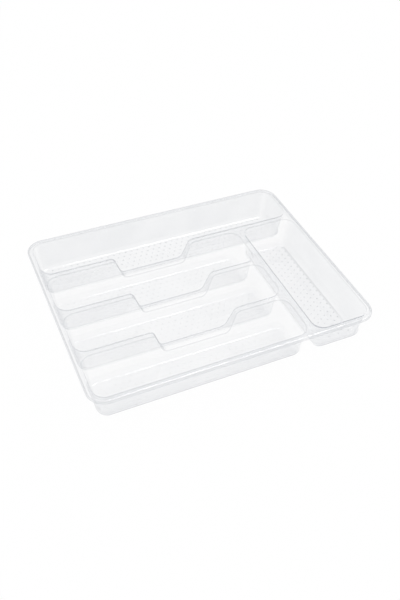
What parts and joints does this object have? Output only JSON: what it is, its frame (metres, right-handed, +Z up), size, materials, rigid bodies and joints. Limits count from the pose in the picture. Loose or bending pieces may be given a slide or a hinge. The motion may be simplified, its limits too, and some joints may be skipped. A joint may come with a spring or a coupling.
{
  "type": "cutlery tray",
  "caption": "Clear moulded drawer tray with drafted bins, notched hollow dividers and a rounded lip.",
  "frame": {"origin": "middle of the base, on the plane that the bins' undersides rest on", "axes": "+X towards the end with the side bin, +Y towards the full-width back bin, +Z up out of the bins"},
  "size_m": [0.39, 0.306, 0.045],
  "materials": {
    "clear_plastic": "clear glossy"
  },
  "bodies": {
    "root": {"back_bin": "clear_plastic", "second_row_bin": "clear_plastic", "third_row_bin": "clear_plastic", "front_row_bin": "clear_plastic", "side_bin": "clear_plastic", "back_divider": "clear_plastic", "middle_divider": "clear_plastic", "front_divider": "clear_plastic", "side_divider": "clear_plastic", "rim": "clear_plastic"}
  },
  "joints": []
}
